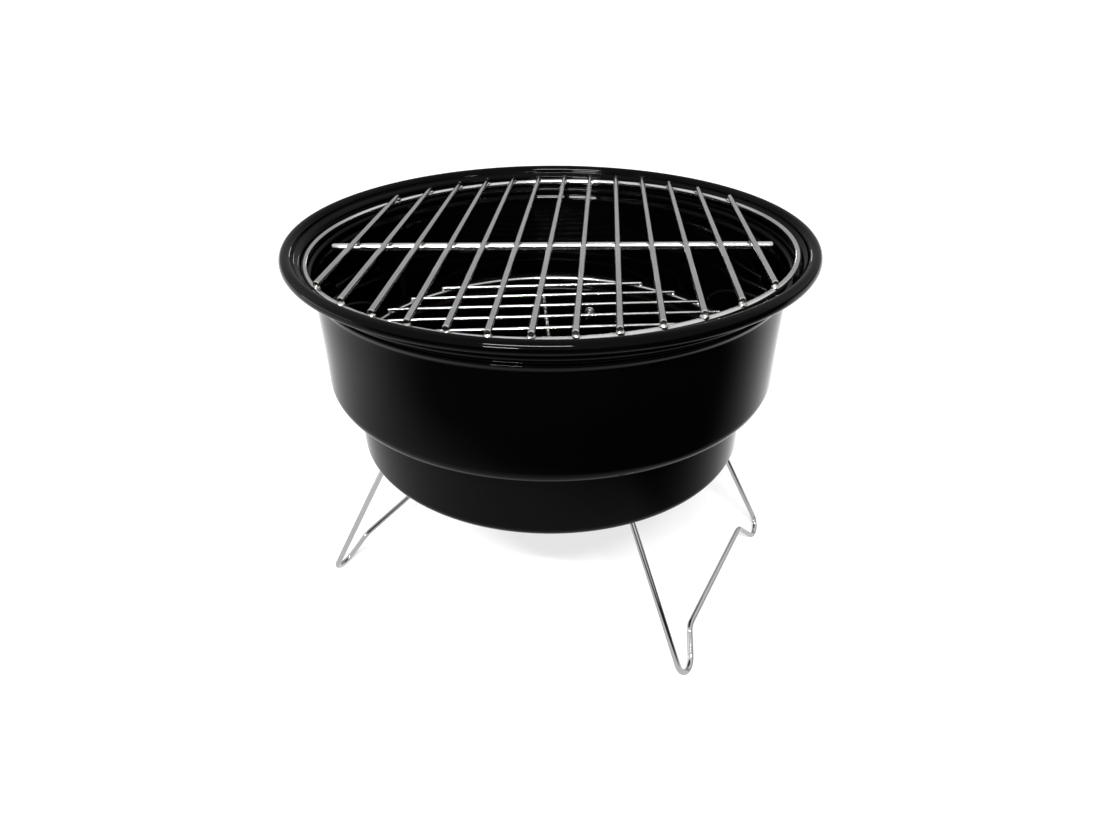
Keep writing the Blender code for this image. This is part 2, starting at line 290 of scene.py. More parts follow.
def straight_wire(name, wire, length, pressed):
    """A cut wire along Y, its ends chamfered, squeezed where it is pressed on another wire."""
    chamfer = chamfer_share * wire
    half_press = half_press_share * wire
    tip = 0.5 * length - chamfer
    stations = []
    for y in pressed:
        stations += [(y + step * wire, 1.0, 1.0) for step in round_steps]
        stations += [(y + step * half_press, wide, high) for step, wide, high in squeeze]
    stations = sorted(s for s in stations if abs(s[0]) < tip)
    stations = [(-0.5 * length, end_share, end_share), (-tip, 1.0, 1.0)] + stations
    stations += [(tip, 1.0, 1.0), (0.5 * length, end_share, end_share)]
    bpy.ops.object.select_all(action="DESELECT")
    bpy.ops.mesh.primitive_circle_add(
        vertices=wire_sides, radius=0.5 * wire, fill_type="NGON",
        rotation=(0.5 * math.pi, 0.0, 0.0))
    piece = named(name)
    apply_place(piece)
    begin_edit()
    bpy.ops.mesh.select_all(action="SELECT")
    y, wide, high = stations[0]
    bpy.ops.transform.translate(value=(0.0, y, 0.0))
    bpy.ops.transform.resize(value=(wide, 1.0, high), center_override=(0.0, y, 0.0))
    for there, next_wide, next_high in stations[1:]:
        bpy.ops.mesh.extrude_region_move(
            TRANSFORM_OT_translate={"value": (0.0, there - y, 0.0)})
        bpy.ops.transform.resize(
            value=(next_wide / wide, 1.0, next_high / high), center_override=(0.0, there, 0.0))
        y, wide, high = there, next_wide, next_high
    end_edit_outward()
    smooth(piece, 40.0)
    return piece


def bent_wire(name, points, wire):
    piece = drawn_line(name, points)
    end_edit()
    bpy.ops.object.convert(target="CURVE")
    line = bpy.context.object.data
    line.bevel_depth = 0.5 * wire
    line.bevel_resolution = 5
    line.use_fill_caps = True
    bpy.ops.object.convert(target="MESH")
    piece = bpy.context.object
    begin_edit()
    bpy.ops.mesh.select_all(action="SELECT")
    bpy.ops.mesh.remove_doubles(threshold=merge_distance)
    end_edit_outward()
    smooth(piece, 40.0)
    return piece


def ring_wire(name, radius, wire, seam_azimuth):
    """A wire bent to a circle, with a swelling where its two ends are butt welded."""
    bpy.ops.object.select_all(action="DESELECT")
    bpy.ops.mesh.primitive_torus_add(
        major_segments=ring_steps, minor_segments=wire_sides, major_radius=radius,
        minor_radius=0.5 * wire)
    piece = named(name)
    seam = Vector((radius * math.cos(seam_azimuth), radius * math.sin(seam_azimuth), 0.0))
    begin_edit()
    for reach, swell in ((1.4 * wire, 1.05), (0.8 * wire, 1.10)):
        bpy.ops.mesh.select_all(action="DESELECT")
        end_edit()
        for vertex in piece.data.vertices:
            vertex.select = (vertex.co - seam).length < reach
        begin_edit()
        bpy.ops.transform.resize(value=(swell, swell, swell), center_override=seam)
    end_edit()
    smooth(piece, 60.0)
    return piece


def weld_lump(name, size, seed):
    """Metal pressed out where two wires are spot welded."""
    bpy.ops.object.select_all(action="DESELECT")
    bpy.ops.mesh.primitive_ico_sphere_add(subdivisions=2, radius=1.0)
    piece = named(name)
    begin_edit()
    bpy.ops.mesh.select_all(action="SELECT")
    bpy.ops.transform.vertex_random(offset=0.22, normal=0.7, seed=seed)
    bpy.ops.transform.resize(value=size, center_override=(0.0, 0.0, 0.0))
    end_edit()
    apply_modifier(piece, "SUBSURF", levels=1, render_levels=1)
    smooth(piece, 180.0)
    return piece


def stain_near(piece, places, reach):
    """Notes on each point how near it is to a weld, for the stain that the heat leaves."""
    heat = piece.data.attributes.new("weld_heat", "FLOAT", "POINT")
    for vertex, note in zip(piece.data.vertices, heat.data):
        nearest = min((vertex.co - place).length for place in places)
        note.value = max(0.0, 1.0 - nearest / reach)


def arc(centre_r, centre_z, radius, start, end, steps):
    points = []
    for i in range(steps + 1):
        t = math.radians(start + (end - start) * i / steps)
        points.append((centre_r + radius * math.cos(t), centre_z + radius * math.sin(t)))
    return points


def swept(start, lean_start, lean_end, end, steps):
    points = []
    for i in range(steps + 1):
        t = i / steps
        s = 1.0 - t
        weights = (s * s * s, 3.0 * s * s * t, 3.0 * s * t * t, t * t * t)
        corners = (start, lean_start, lean_end, end)
        points.append(tuple(sum(w * c[k] for w, c in zip(weights, corners)) for k in (0, 1)))
    return points


# Bowl: one sheet, drawn as an outline from the middle of the base and turned
def wall_radius(z):
    t = (z - shoulder_centre_z) / (ledge_under - shoulder_centre_z)
    radius = shoulder_radius + (neck_radius - shoulder_radius) * t * t
    off = z - (ledge_under - bead_drop)
    reach = bead_above if off > 0.0 else bead_below
    if abs(off) < reach:
        radius += 0.5 * bead_rise * (1.0 + math.cos(math.pi * off / reach))
    return radius


def wall_heights():
    plain_top = ledge_under - bead_drop - bead_below
    plain = plain_top - shoulder_centre_z
    heights = [shoulder_centre_z + plain * i / wall_steps for i in range(1, wall_steps + 1)]
    beaded = ledge_under - ledge_round - plain_top
    heights += [plain_top + beaded * i / bead_steps for i in range(1, bead_steps)]
    return heights


corner_z = base_height + base_corner
foot_r = drum_top_radius + drum_top_round
foot_z = shoulder_under - drum_top_round
neck_r = neck_radius + ledge_round
neck_z = ledge_under - ledge_round
bend_r = recess_outer - ledge_bend
bend_z = ledge_under + ledge_bend
roll_inside = lip_centre_radius - lip_roll
roll_under = lip_centre_radius - lip_roll + sheet
roll_end = -165.0
edge_turn = math.radians(-166.0)
edge_r = lip_centre_radius + (lip_roll - 0.5 * sheet) * math.cos(edge_turn)
edge_z = lip_height + (lip_roll - 0.5 * sheet) * math.sin(edge_turn)
bowl_outline = [(0.0, base_height), (0.5 * base_flat_radius, base_height)]
bowl_outline += arc(base_flat_radius, corner_z, base_corner, -90.0, 0.0, 10)
bowl_outline += arc(foot_r, foot_z, drum_top_round, 180.0, 90.0, 6)
bowl_outline += arc(shoulder_centre_r, shoulder_centre_z, shoulder_round, -90.0, 0.0, 18)
bowl_outline += [(wall_radius(z), z) for z in wall_heights()]
bowl_outline += arc(neck_r, neck_z, ledge_round, 180.0, 90.0, 6)
bowl_outline += arc(bend_r, bend_z, ledge_bend, -90.0, 0.0, 8)
bowl_outline += swept(
    (recess_outer, lip_height - lip_slope - lip_slope_tail),
    (recess_outer, lip_height - lip_leans_under[0]),
    (roll_under, lip_height - lip_leans_under[1]), (roll_under, lip_height), 8)
bowl_outline += arc(lip_centre_radius, lip_height, lip_roll - sheet, 175.0, roll_end, 18)
bowl_outline += arc(edge_r, edge_z, 0.5 * sheet, -20.0, -150.0, 4)
bowl_outline += arc(lip_centre_radius, lip_height, lip_roll, roll_end, 180.0, 30)
bowl_outline += swept(
    (roll_inside, lip_height - lip_meet), (roll_inside, lip_height - lip_leans_above[0]),
    (recess_radius, lip_height - lip_leans_above[1]), (recess_radius, lip_height - lip_slope), 10)
bowl_outline += arc(bend_r, bend_z, ledge_bend - sheet, 0.0, -90.0, 6)
bowl_outline += arc(neck_r, neck_z, ledge_round + sheet, 90.0, 180.0, 8)
bowl_outline += [(wall_radius(z) - sheet, z) for z in reversed(wall_heights())]
bowl_outline += arc(
    shoulder_centre_r, shoulder_centre_z, shoulder_round - sheet, 0.0, -90.0, 18)
bowl_outline += arc(foot_r, foot_z, drum_top_round + sheet, 90.0, 180.0, 8)
bowl_outline += arc(base_flat_radius, corner_z, base_corner - sheet, 0.0, -90.0, 10)
bowl_outline += [(0.5 * base_flat_radius, base_height + sheet), (0.0, base_height + sheet)]
bowl = turned_piece("bowl_shell", bowl_outline, bowl_turns)

# Screw places: two clips under each leg's hinge, and one screw in the back of the lower drum
clip_places = {}
for leg_name, side in leg_sides.items():
    for end_name, end in (("front", -1.0), ("back", 1.0)):
        y = leg_shifts[leg_name] + end * (hinge_half - clip_inset)
        clip_places[leg_name, end_name] = (side, side * (hinge_reach - screw_inset), y)
drum_out = Vector((math.cos(side_screw_azimuth), math.sin(side_screw_azimuth), 0.0))
drum_screw_z = shoulder_under - side_screw_drop
drum_wall = drum_radius + (drum_top_radius - drum_radius) * (
    (drum_screw_z - base_height) / (shoulder_under - base_height))
inward_turn = Vector((0.0, 0.0, 1.0)).rotation_difference(-drum_out).to_matrix().to_4x4()

hole_places = [
    Matrix.Translation((x, y, base_height)) for side, x, y in clip_places.values()]
hole_places.append(
    Matrix.Translation(drum_out * drum_wall + Vector((0.0, 0.0, drum_screw_z))) @ inward_turn)
for hole_place in hole_places:
    drill_hole(bowl, hole_place, bowl_drill)
smooth(bowl, 42.0)

# Cooking grate, lying a little out of level on the ledge
grate_z = ledge_height + gap + 0.5 * grate_wire + grate_ring_radius * math.sin(grate_lean)
lean_axis = Vector((math.cos(grate_lean_azimuth), math.sin(grate_lean_azimuth), 0.0))
grate_place = (
    Matrix.Translation((0.0, 0.0, grate_z))
    @ Matrix.Rotation(grate_lean, 4, lean_axis)
    @ Matrix.Rotation(grate_turn, 4, "Z"))
bar_z = 0.5 * grate_wire + gap + 0.5 * grate_bar_wire
cross_z = bar_z - gap - 0.5 * (grate_bar_wire + grate_cross_wire)
bar_rows = [
    (i - 0.5 * (grate_bar_count - 1)) * grate_bar_spacing + grate_bar_shift
    for i in range(grate_bar_count)]

grate_ring = ring_wire("grate_ring", grate_ring_radius, grate_wire, grate_seam_azimuth)
apply_place(grate_ring, grate_place)
grate_bars = []
weld_places = []
for i, x in enumerate(bar_rows):
    half = math.sqrt(grate_bar_reach ** 2 - (abs(x) + 0.5 * grate_bar_wire) ** 2)
    on_ring = math.sqrt(grate_ring_radius ** 2 - x ** 2)
    on_cross = grate_cross_shift + x * math.tan(grate_cross_turn)
    pressed = [-on_ring, on_cross, on_ring]
    bar = straight_wire("grate_bar_%02d" % (i + 1), grate_bar_wire, 2.0 * half, pressed)
    apply_place(bar, grate_place @ Matrix.Translation((x, 0.0, bar_z)))
    grate_bars.append(bar)
    for y in pressed:
        weld_places.append((x, y))
grate_cross = straight_wire(
    "grate_cross_wire", grate_cross_wire, 2.0 * grate_cross_half, [-x for x in bar_rows])
apply_place(
    grate_cross,
    grate_place @ Matrix.Translation((0.0, grate_cross_shift, cross_z))
    @ Matrix.Rotation(0.5 * math.pi + grate_cross_turn, 4, "Z"))


def weld_set(name, lumps, places, frame_place):
    """Copies the lumps to their places by turns and joins them into one piece."""
    copies = []
    for i, (place, grow) in enumerate(places):
        lump = lumps[i % len(lumps)]
        size = Matrix.Diagonal((grow, grow, grow, 1.0))
        copies.append(copy_piece(lump, "%s_%02d" % (name, i), frame_place @ place @ size))
    for lump in lumps:
        bpy.data.objects.remove(lump)
    work_on(copies[0])
    for copy in copies:
        copy.select_set(True)
    bpy.ops.object.join()
    return named(name)


# Each lump is turned its own way, so that the copies don't look alike
lump_size = (0.60 * grate_bar_wire, 0.62 * grate_bar_wire, 0.46 * grate_bar_wire)
grate_lumps = [weld_lump("lump_%d" % seed, lump_size, seed) for seed in (3, 8, 11, 19)]
lump_places = []
for x, y in weld_places:
    turn = Matrix.Rotation(70.0 * x + 30.0 * y, 4, "Z")
    at_ring = abs(y) > 2.0 * abs(grate_cross_shift)
    height = 0.5 * grate_wire - lump_sink if at_ring else bar_z - 0.5 * grate_bar_wire
    grow = lump_at_ring if at_ring else lump_at_cross
    lump_places.append((Matrix.Translation((x, y, height)) @ turn, grow))
grate_welds = weld_set("grate_welds", grate_lumps, lump_places, grate_place)
weld_points = [grate_place @ Vector((x, y, 0.5 * grate_wire)) for x, y in weld_places]
for piece in [grate_ring, grate_cross, grate_welds] + grate_bars:
    stain_near(piece, weld_points, grate_stain_reach)

# Charcoal grate, its ring in the hollow of the shoulder
seat_reach = shoulder_round - sheet - joint_gap - 0.5 * coal_ring_wire
coal_ring_radius = shoulder_centre_r + coal_seat_inset
coal_ring_z = shoulder_centre_z - math.sqrt(seat_reach ** 2 - coal_seat_inset ** 2)
coal_place = Matrix.Translation((0.0, 0.0, coal_ring_z)) @ Matrix.Rotation(coal_turn, 4, "Z")
coal_wire_z = 0.5 * coal_ring_wire + gap + 0.5 * coal_wire
coal_cross_z = coal_wire_z - coal_wire - gap
coal_reach = coal_ring_radius + 0.5 * coal_ring_wire
coal_rows = [
    (i - 0.5 * (coal_wire_count - 1)) * coal_wire_spacing + coal_wire_shift
    for i in range(coal_wire_count)]
along_x = Matrix.Rotation(-0.5 * math.pi, 4, "Z")

coal_ring = ring_wire("coal_ring", coal_ring_radius, coal_ring_wire, coal_seam_azimuth)
apply_place(coal_ring, coal_place)
coal_wires = []
coal_weld_places = []
for i, y in enumerate(coal_rows):
    half = math.sqrt(coal_reach ** 2 - (abs(y) + 0.5 * coal_wire) ** 2)
    on_ring = math.sqrt(coal_ring_radius ** 2 - y ** 2)
    wire = straight_wire("coal_wire_%02d" % (i + 1), coal_wire, 2.0 * half, [-on_ring, on_ring])
    apply_place(wire, coal_place @ Matrix.Translation((0.0, y, coal_wire_z)) @ along_x)
    coal_wires.append(wire)
    coal_weld_places += [(-on_ring, y), (on_ring, y)]
    if 0 < i < coal_wire_count - 1:
        coal_weld_places.append((0.0, y))
cross_start = coal_rows[1] - coal_cross_overhang
cross_end = coal_rows[-2] + coal_cross_overhang
cross_middle = 0.5 * (cross_start + cross_end)
coal_cross = straight_wire(
    "coal_cross_wire", coal_wire, cross_end - cross_start,
    [y - cross_middle for y in coal_rows[1:-1]])
apply_place(coal_cross, coal_place @ Matrix.Translation((0.0, cross_middle, coal_cross_z)))

lump_size = (0.62 * coal_wire, 0.58 * coal_wire, 0.44 * coal_wire)
coal_lumps = [weld_lump("coal_lump_%d" % seed, lump_size, seed) for seed in (5, 13, 21)]
lump_places = []
for x, y in coal_weld_places:
    turn = Matrix.Rotation(40.0 * (x + y), 4, "Z")
    height = 0.5 * coal_ring_wire if x else coal_wire_z - 0.5 * coal_wire
    grow = 1.0 if x else coal_lump_at_cross
    lump_places.append((Matrix.Translation((x, y, height)) @ turn, grow))
coal_welds = weld_set("coal_welds", coal_lumps, lump_places, coal_place)
weld_points = [coal_place @ Vector((x, y, 0.5 * coal_ring_wire)) for x, y in coal_weld_places]
for piece in [coal_ring, coal_cross, coal_welds] + coal_wires:
    stain_near(piece, weld_points, coal_stain_reach)

# Legs: the frame is drawn in its own plane, y along the hinge, depth down the leg
splay = math.tan(side_splay)
rise_direction = Vector((splay, 1.0)).normalized()
toe_direction = Vector((toe_run, toe_rise)).normalized()
foot_half_angle = 0.5 * rise_direction.angle(toe_direction)
foot_bisector = (rise_direction + toe_direction).normalized()
foot_lift = foot_bend * (foot_bisector.y / math.sin(foot_half_angle) - 1.0)
vertex_depth = (hinge_height - 0.5 * leg_wire) / math.cos(leg_lean) + foot_lift
vertex_half = hinge_half + splay * vertex_depth
knee_half = vertex_half - toe_run
knee_depth = vertex_depth - toe_rise
tail_y = hinge_half - hinge_run


def leg_point(leg_name, y, depth, outward=0.0):
    side = leg_sides[leg_name]
    x = side * (hinge_reach + math.sin(leg_lean) * depth + outward)
    return Vector((x, leg_shifts[leg_name] + y, hinge_height - math.cos(leg_lean) * depth))


def rounded_path(corners, bends):
    points = [corners[0]]
    for before, here, after, bend in zip(corners, corners[1:], corners[2:], bends):
        back = (before - here).normalized()
        ahead = (after - here).normalized()
        half = 0.5 * back.angle(ahead)
        centre = here + (back + ahead).normalized() * (bend / math.sin(half))
        a = here + back * (bend / math.tan(half)) - centre
        b = here + ahead * (bend / math.tan(half)) - centre
        sweep = a.angle(b)
        for k in range(bend_steps + 1):
            f = k / bend_steps
            spoke = a * math.sin((1.0 - f) * sweep) + b * math.sin(f * sweep)
            points.append(centre + spoke / math.sin(sweep))
    points.append(corners[-1])
    return points


bends = [tail_bend, hinge_bend, foot_bend, knee_bend, knee_bend, foot_bend, hinge_bend, tail_bend]
legs = {}
for leg_name in leg_sides:
    corners = [
        leg_point(leg_name, -tail_y, 0.0, tail_length), leg_point(leg_name, -tail_y, 0.0),
        leg_point(leg_name, -hinge_half, 0.0), leg_point(leg_name, -vertex_half, vertex_depth),
        leg_point(leg_name, -knee_half, knee_depth), leg_point(leg_name, knee_half, knee_depth),
        leg_point(leg_name, vertex_half, vertex_depth), leg_point(leg_name, hinge_half, 0.0),
        leg_point(leg_name, tail_y, 0.0), leg_point(leg_name, tail_y, 0.0, tail_length)]
    legs[leg_name] = bent_wire("leg_wire_" + leg_name, rounded_path(corners, bends), leg_wire)


# Clips, screws, washers and nuts
def clip_strap(name, side, y):
    top = base_height - gap
    under = top - clip_sheet
    inner = 0.5 * leg_wire + gap
    outer = inner + clip_sheet
    profile = [(-clip_tab, top), (-inner, top)]
    profile += arc(0.0, hinge_height, inner, 180.0, 360.0, 16)
    profile += [(inner, top), (outer + clip_toe, top), (outer + clip_toe, under), (outer, under)]
    profile += arc(0.0, hinge_height, outer, 360.0, 180.0, 16)
    profile += [(-outer, under), (-clip_tab, under)]
    start = y - 0.5 * clip_width
    piece = drawn_line(name, [(side * (hinge_reach + x), start, z) for x, z in profile])
    bpy.ops.mesh.select_all(action="SELECT")
    bpy.ops.mesh.remove_doubles(threshold=merge_distance)
    bpy.ops.mesh.edge_face_add()
    bpy.ops.mesh.extrude_region_move(TRANSFORM_OT_translate={"value": (0.0, clip_width, 0.0)})
    end_edit_outward()
    hole_place = Matrix.Translation((side * (hinge_reach - screw_inset), y, under))
    drill_hole(piece, hole_place, clip_drill)
    apply_modifier(
        piece, "BEVEL", width=clip_edge, segments=2, limit_method="ANGLE",
        angle_limit=math.radians(50.0), use_clamp_overlap=True)
    smooth(piece, 40.0)
    return piece


def screw(name, grip):
    """A pan head screw along Z with its head below the origin."""
    head = screw_head_radius
    outline = [(0.0, -screw_head_height)]
    outline += [
        (head * math.sin(t) * 0.99, -screw_head_height * (0.30 + 0.70 * math.cos(t)))
        for t in (0.25, 0.5, 0.75, 1.0, 1.25, 1.45)]
    outline += [(head, -0.22 * screw_head_height), (head, -0.0001), (head - 0.0001, 0.0)]
    outline += [(screw_radius, 0.0)]
    threads = int((grip - screw_chamfer) / screw_pitch)
    for i in range(threads):
        z = (i + 0.5) * screw_pitch
        outline += [
            (screw_radius - thread_depth, z - 0.3 * screw_pitch), (screw_radius, z),
            (screw_radius - thread_depth, z + 0.3 * screw_pitch)]
    outline += [(screw_radius - screw_chamfer, grip), (0.0, grip)]
    piece = turned_piece(name, outline, screw_turns)
    for turn in (0.0, 0.5 * math.pi):
        bpy.ops.object.select_all(action="DESELECT")
        bpy.ops.mesh.primitive_cube_add(size=1.0)
        slot_cutter = bpy.context.object
        begin_edit()
        bpy.ops.mesh.select_all(action="SELECT")
        bpy.ops.transform.resize(
            value=(recess_length, recess_width, recess_depth), center_override=(0.0, 0.0, 0.0))
        end_edit()
        for vertex in slot_cutter.data.vertices:
            vertex.select = vertex.co.z > 0.0
        begin_edit()
        bpy.ops.transform.resize(value=recess_taper, center_override=(0.0, 0.0, 0.0))
        end_edit()
        apply_place(
            slot_cutter,
            Matrix.Translation((0.0, 0.0, -screw_head_height)) @ Matrix.Rotation(turn, 4, "Z"))
        cut_away(piece, slot_cutter)
    smooth(piece, 35.0)
    return piece


def washer(name):
    edge = washer_edge
    inner, outer, top = screw_hole_radius, washer_radius, washer_thickness
    outline = [
        (inner + edge, 0.0), (outer - edge, 0.0), (outer, edge), (outer, top - edge),
        (outer - edge, top), (inner + edge, top), (inner, top - edge), (inner, edge),
        (inner + edge, 0.0)]
    piece = turned_piece(name, outline, washer_turns)
    smooth(piece, 30.0)
    return piece


def nut(name):
    bpy.ops.object.select_all(action="DESELECT")
    bpy.ops.mesh.primitive_cylinder_add(
        vertices=6, radius=nut_radius, depth=nut_height, location=(0.0, 0.0, 0.5 * nut_height))
    piece = named(name)
    apply_place(piece)
    flat = 0.866 * nut_radius - nut_edge
    past = nut_radius + nut_edge
    crown = turned_piece("nut_crown", [
        (0.0, 0.0), (flat, 0.0), (past, nut_slope), (past, nut_height - nut_slope),
        (flat, nut_height), (0.0, nut_height)], washer_turns)
    cut_away(piece, crown, "INTERSECT")
    mouth = screw_radius + gap
    low, high = -nut_mouth_past, nut_height + nut_mouth_past
    bore = turned_piece("nut_bore", [
        (0.0, low), (mouth + nut_mouth_flare, low), (mouth, nut_mouth_depth),
        (mouth, nut_height - nut_mouth_depth), (mouth + nut_mouth_flare, high), (0.0, high)],
        bore_turns)
    cut_away(piece, bore)
    smooth(piece, 30.0)
    return piece


clips = {}
for (leg_name, end_name), (side, x, y) in clip_places.items():
    clips[leg_name, end_name] = clip_strap("clip_%s_%s" % (leg_name, end_name), side, y)

clip_bearing = base_height - 2.0 * gap - clip_sheet
clip_stack = base_height + sheet + gap - clip_bearing
drum_stack = sheet + 2.0 * (gap + side_screw_play)
corner_up = Matrix.Rotation(side_screw_azimuth - 0.5 * math.pi, 4, "Z")
drum_bearing = drum_out * (drum_wall + gap + side_screw_play) + Vector((0.0, 0.0, drum_screw_z))
nut_rise = washer_thickness + gap
nut_top = nut_rise + nut_height
model_screw = screw("model_screw", clip_stack + nut_top + screw_end)
model_washer = washer("model_washer")
model_nut = nut("model_nut")
fasteners = {}
for key, (side, x, y) in clip_places.items():
    label = "_%s_%s" % key
    turn = Matrix.Rotation(37.0 * x + 90.0 * y, 4, "Z")
    place = Matrix.Translation((x, y, clip_bearing)) @ turn
    over = Matrix.Translation((0.0, 0.0, clip_stack))
    on_top = Matrix.Translation((0.0, 0.0, clip_stack + nut_rise))
    fasteners[key] = (
        copy_piece(model_screw, "screw" + label, place),
        copy_piece(model_washer, "washer" + label, place @ over),
        copy_piece(model_nut, "nut" + label, place @ on_top))
drum_place = Matrix.Translation(drum_bearing) @ inward_turn @ corner_up
drum_screw = screw("screw_drum", drum_stack + nut_top + side_screw_end)
apply_place(drum_screw, drum_place)
drum_washer = copy_piece(
    model_washer, "washer_drum", drum_place @ Matrix.Translation((0.0, 0.0, drum_stack)))
drum_nut = copy_piece(
    model_nut, "nut_drum", drum_place @ Matrix.Translation((0.0, 0.0, drum_stack + nut_rise)))
for model in (model_screw, model_washer, model_nut):
    bpy.data.objects.remove(model)


# Finishes: what several of them share is a node group, built once
def group_tree(name, inputs, outputs):
    tree = bpy.data.node_groups.new(name, "ShaderNodeTree")
    for label, kind, value in inputs:
        socket = tree.interface.new_socket(label, in_out="INPUT", socket_type=kind)
        if value is not None:
            socket.default_value = value
    for label, kind in outputs:
        tree.interface.new_socket(label, in_out="OUTPUT", socket_type=kind)
    return tree, tree.nodes.new("NodeGroupInput"), tree.nodes.new("NodeGroupOutput")


def place_node(tree, kind, **settings):
    node = tree.nodes.new(kind)
    for key, value in settings.items():
        setattr(node, key, value)
    return node


def feed(tree, socket, value):
    """Gives a socket a number or a colour, or links another node's output to it."""
    if isinstance(value, (int, float)):
        socket.default_value = value
    elif isinstance(value, tuple):
        socket.default_value = (*value, 1.0)
    else:
        tree.links.new(value, socket)


def math_node(tree, operation, first, second, clamp=False):
    node = place_node(tree, "ShaderNodeMath", operation=operation, use_clamp=clamp)
    feed(tree, node.inputs[0], first)
    feed(tree, node.inputs[1], second)
    return node.outputs[0]


def added(tree, base, value, share, clamp=False):
    """The base and a share of the value."""
    return math_node(tree, "ADD", base, math_node(tree, "MULTIPLY", value, share), clamp)


def noise_node(tree, vector, scale, detail=2.0, roughness=0.5):
    node = place_node(tree, "ShaderNodeTexNoise")
    node.inputs["Detail"].default_value = detail
    node.inputs["Roughness"].default_value = roughness
    tree.links.new(vector, node.inputs["Vector"])
    feed(tree, node.inputs["Scale"], scale)
    return node.outputs["Fac"]


def ramp_value(tree, value, low, high, to_low=0.0, to_high=1.0):
    node = place_node(tree, "ShaderNodeMapRange", interpolation_type="SMOOTHSTEP")
    tree.links.new(value, node.inputs["Value"])
    node.inputs["From Min"].default_value = low
    node.inputs["From Max"].default_value = high
    node.inputs["To Min"].default_value = to_low
    node.inputs["To Max"].default_value = to_high
    return node.outputs["Result"]


def mixed_colour(tree, share, first, second):
    node = place_node(tree, "ShaderNodeMix", data_type="RGBA")
    feed(tree, node.inputs[0], share)
    feed(tree, node.inputs[6], first)
    feed(tree, node.inputs[7], second)
    return node.outputs[2]


def cell_node(tree, vector, scale):
    node = place_node(tree, "ShaderNodeTexVoronoi", feature="F1")
    node.inputs["Scale"].default_value = scale
    tree.links.new(vector, node.inputs["Vector"])
    return node


def scattered(tree, vector, scale, near, far, patches, low, high):
    """Small spots in the middle of cells, only where a coarser noise lets them be."""
    cells = cell_node(tree, vector, scale)
    spots = ramp_value(tree, cells.outputs["Distance"], near, far, 1.0, 0.0)
    share = ramp_value(tree, noise_node(tree, vector, patches), low, high)
    return math_node(tree, "MULTIPLY", spots, share)


# Drawn wire: small pits, and fine lines along Y of the vector that the group is given
drawn_finish, given, made = group_tree(
    "drawn_finish",
    [("Vector", "NodeSocketVector", None), ("Lines", "NodeSocketFloat", 2600.0)],
    [("Lines", "NodeSocketFloat"), ("Pits", "NodeSocketFloat"), ("Cloud", "NodeSocketFloat")])
stretch = place_node(drawn_finish, "ShaderNodeVectorMath", operation="MULTIPLY")
stretch.inputs[1].default_value = (1.0, 0.03, 1.0)
drawn_finish.links.new(given.outputs["Vector"], stretch.inputs[0])
drawn_finish.links.new(
    noise_node(drawn_finish, stretch.outputs[0], given.outputs["Lines"], 3.0, 0.6),
    made.inputs["Lines"])
drawn_finish.links.new(
    scattered(drawn_finish, given.outputs["Vector"], 620.0, 0.10, 0.22, 150.0, 0.52, 0.66),
    made.inputs["Pits"])
drawn_finish.links.new(
    noise_node(drawn_finish, given.outputs["Vector"], 42.0, 3.0), made.inputs["Cloud"])

# Weld stain: how near a point is to a weld, with a broken edge, and the soot right at the weld
weld_stain, given, made = group_tree(
    "weld_stain",
    [("Vector", "NodeSocketVector", None)],
    [("Stain", "NodeSocketFloat"), ("Soot", "NodeSocketFloat")])
heat = place_node(weld_stain, "ShaderNodeAttribute", attribute_name="weld_heat")
broken = noise_node(weld_stain, given.outputs["Vector"], 900.0, 3.0, 0.6)
spread = added(
    weld_stain, heat.outputs["Fac"], math_node(weld_stain, "SUBTRACT", broken, 0.5), 0.7)
weld_stain.links.new(ramp_value(weld_stain, spread, 0.25, 0.75), made.inputs["Stain"])
weld_stain.links.new(ramp_value(weld_stain, spread, 0.72, 1.05), made.inputs["Soot"])

# Handling marks: smears left by hands and a few specks of dust
handling_marks, given, made = group_tree(
    "handling_marks",
    [("Vector", "NodeSocketVector", None), ("Smears", "NodeSocketFloat", 30.0)],
    [("Smear", "NodeSocketFloat"), ("Dust", "NodeSocketFloat")])
smear = noise_node(handling_marks, given.outputs["Vector"], given.outputs["Smears"], 4.0, 0.65)
handling_marks.links.new(ramp_value(handling_marks, smear, 0.50, 0.72), made.inputs["Smear"])
handling_marks.links.new(
    scattered(handling_marks, given.outputs["Vector"], 340.0, 0.03, 0.08, 210.0, 0.56, 0.68),
    made.inputs["Dust"])

# Edge wear: brighter, smoother metal where the sheet or the nut has an edge
edge_wear, given, made = group_tree(
    "edge_wear",
    [("Vector", "NodeSocketVector", None), ("Reach", "NodeSocketFloat", 0.0004)],
    [("Wear", "NodeSocketFloat")])
rounded = place_node(edge_wear, "ShaderNodeBevel", samples=4)
edge_wear.links.new(given.outputs["Reach"], rounded.inputs["Radius"])
facing = place_node(edge_wear, "ShaderNodeNewGeometry")
likeness = place_node(edge_wear, "ShaderNodeVectorMath", operation="DOT_PRODUCT")
edge_wear.links.new(rounded.outputs["Normal"], likeness.inputs[0])
edge_wear.links.new(facing.outputs["Normal"], likeness.inputs[1])
worn = ramp_value(edge_wear, likeness.outputs["Value"], 0.86, 0.99, 1.0, 0.0)
patchy = ramp_value(edge_wear, noise_node(edge_wear, given.outputs["Vector"], 700.0), 0.35, 0.6)
edge_wear.links.new(math_node(edge_wear, "MULTIPLY", worn, patchy), made.inputs["Wear"])


def new_finish(name, metallic):
    material = bpy.data.materials.new(name)
    material.use_nodes = True
    tree = material.node_tree
    shader = tree.nodes["Principled BSDF"]
    shader.inputs["Metallic"].default_value = metallic
    where = place_node(tree, "ShaderNodeTexCoord").outputs["Object"]
    return material, tree, shader, where


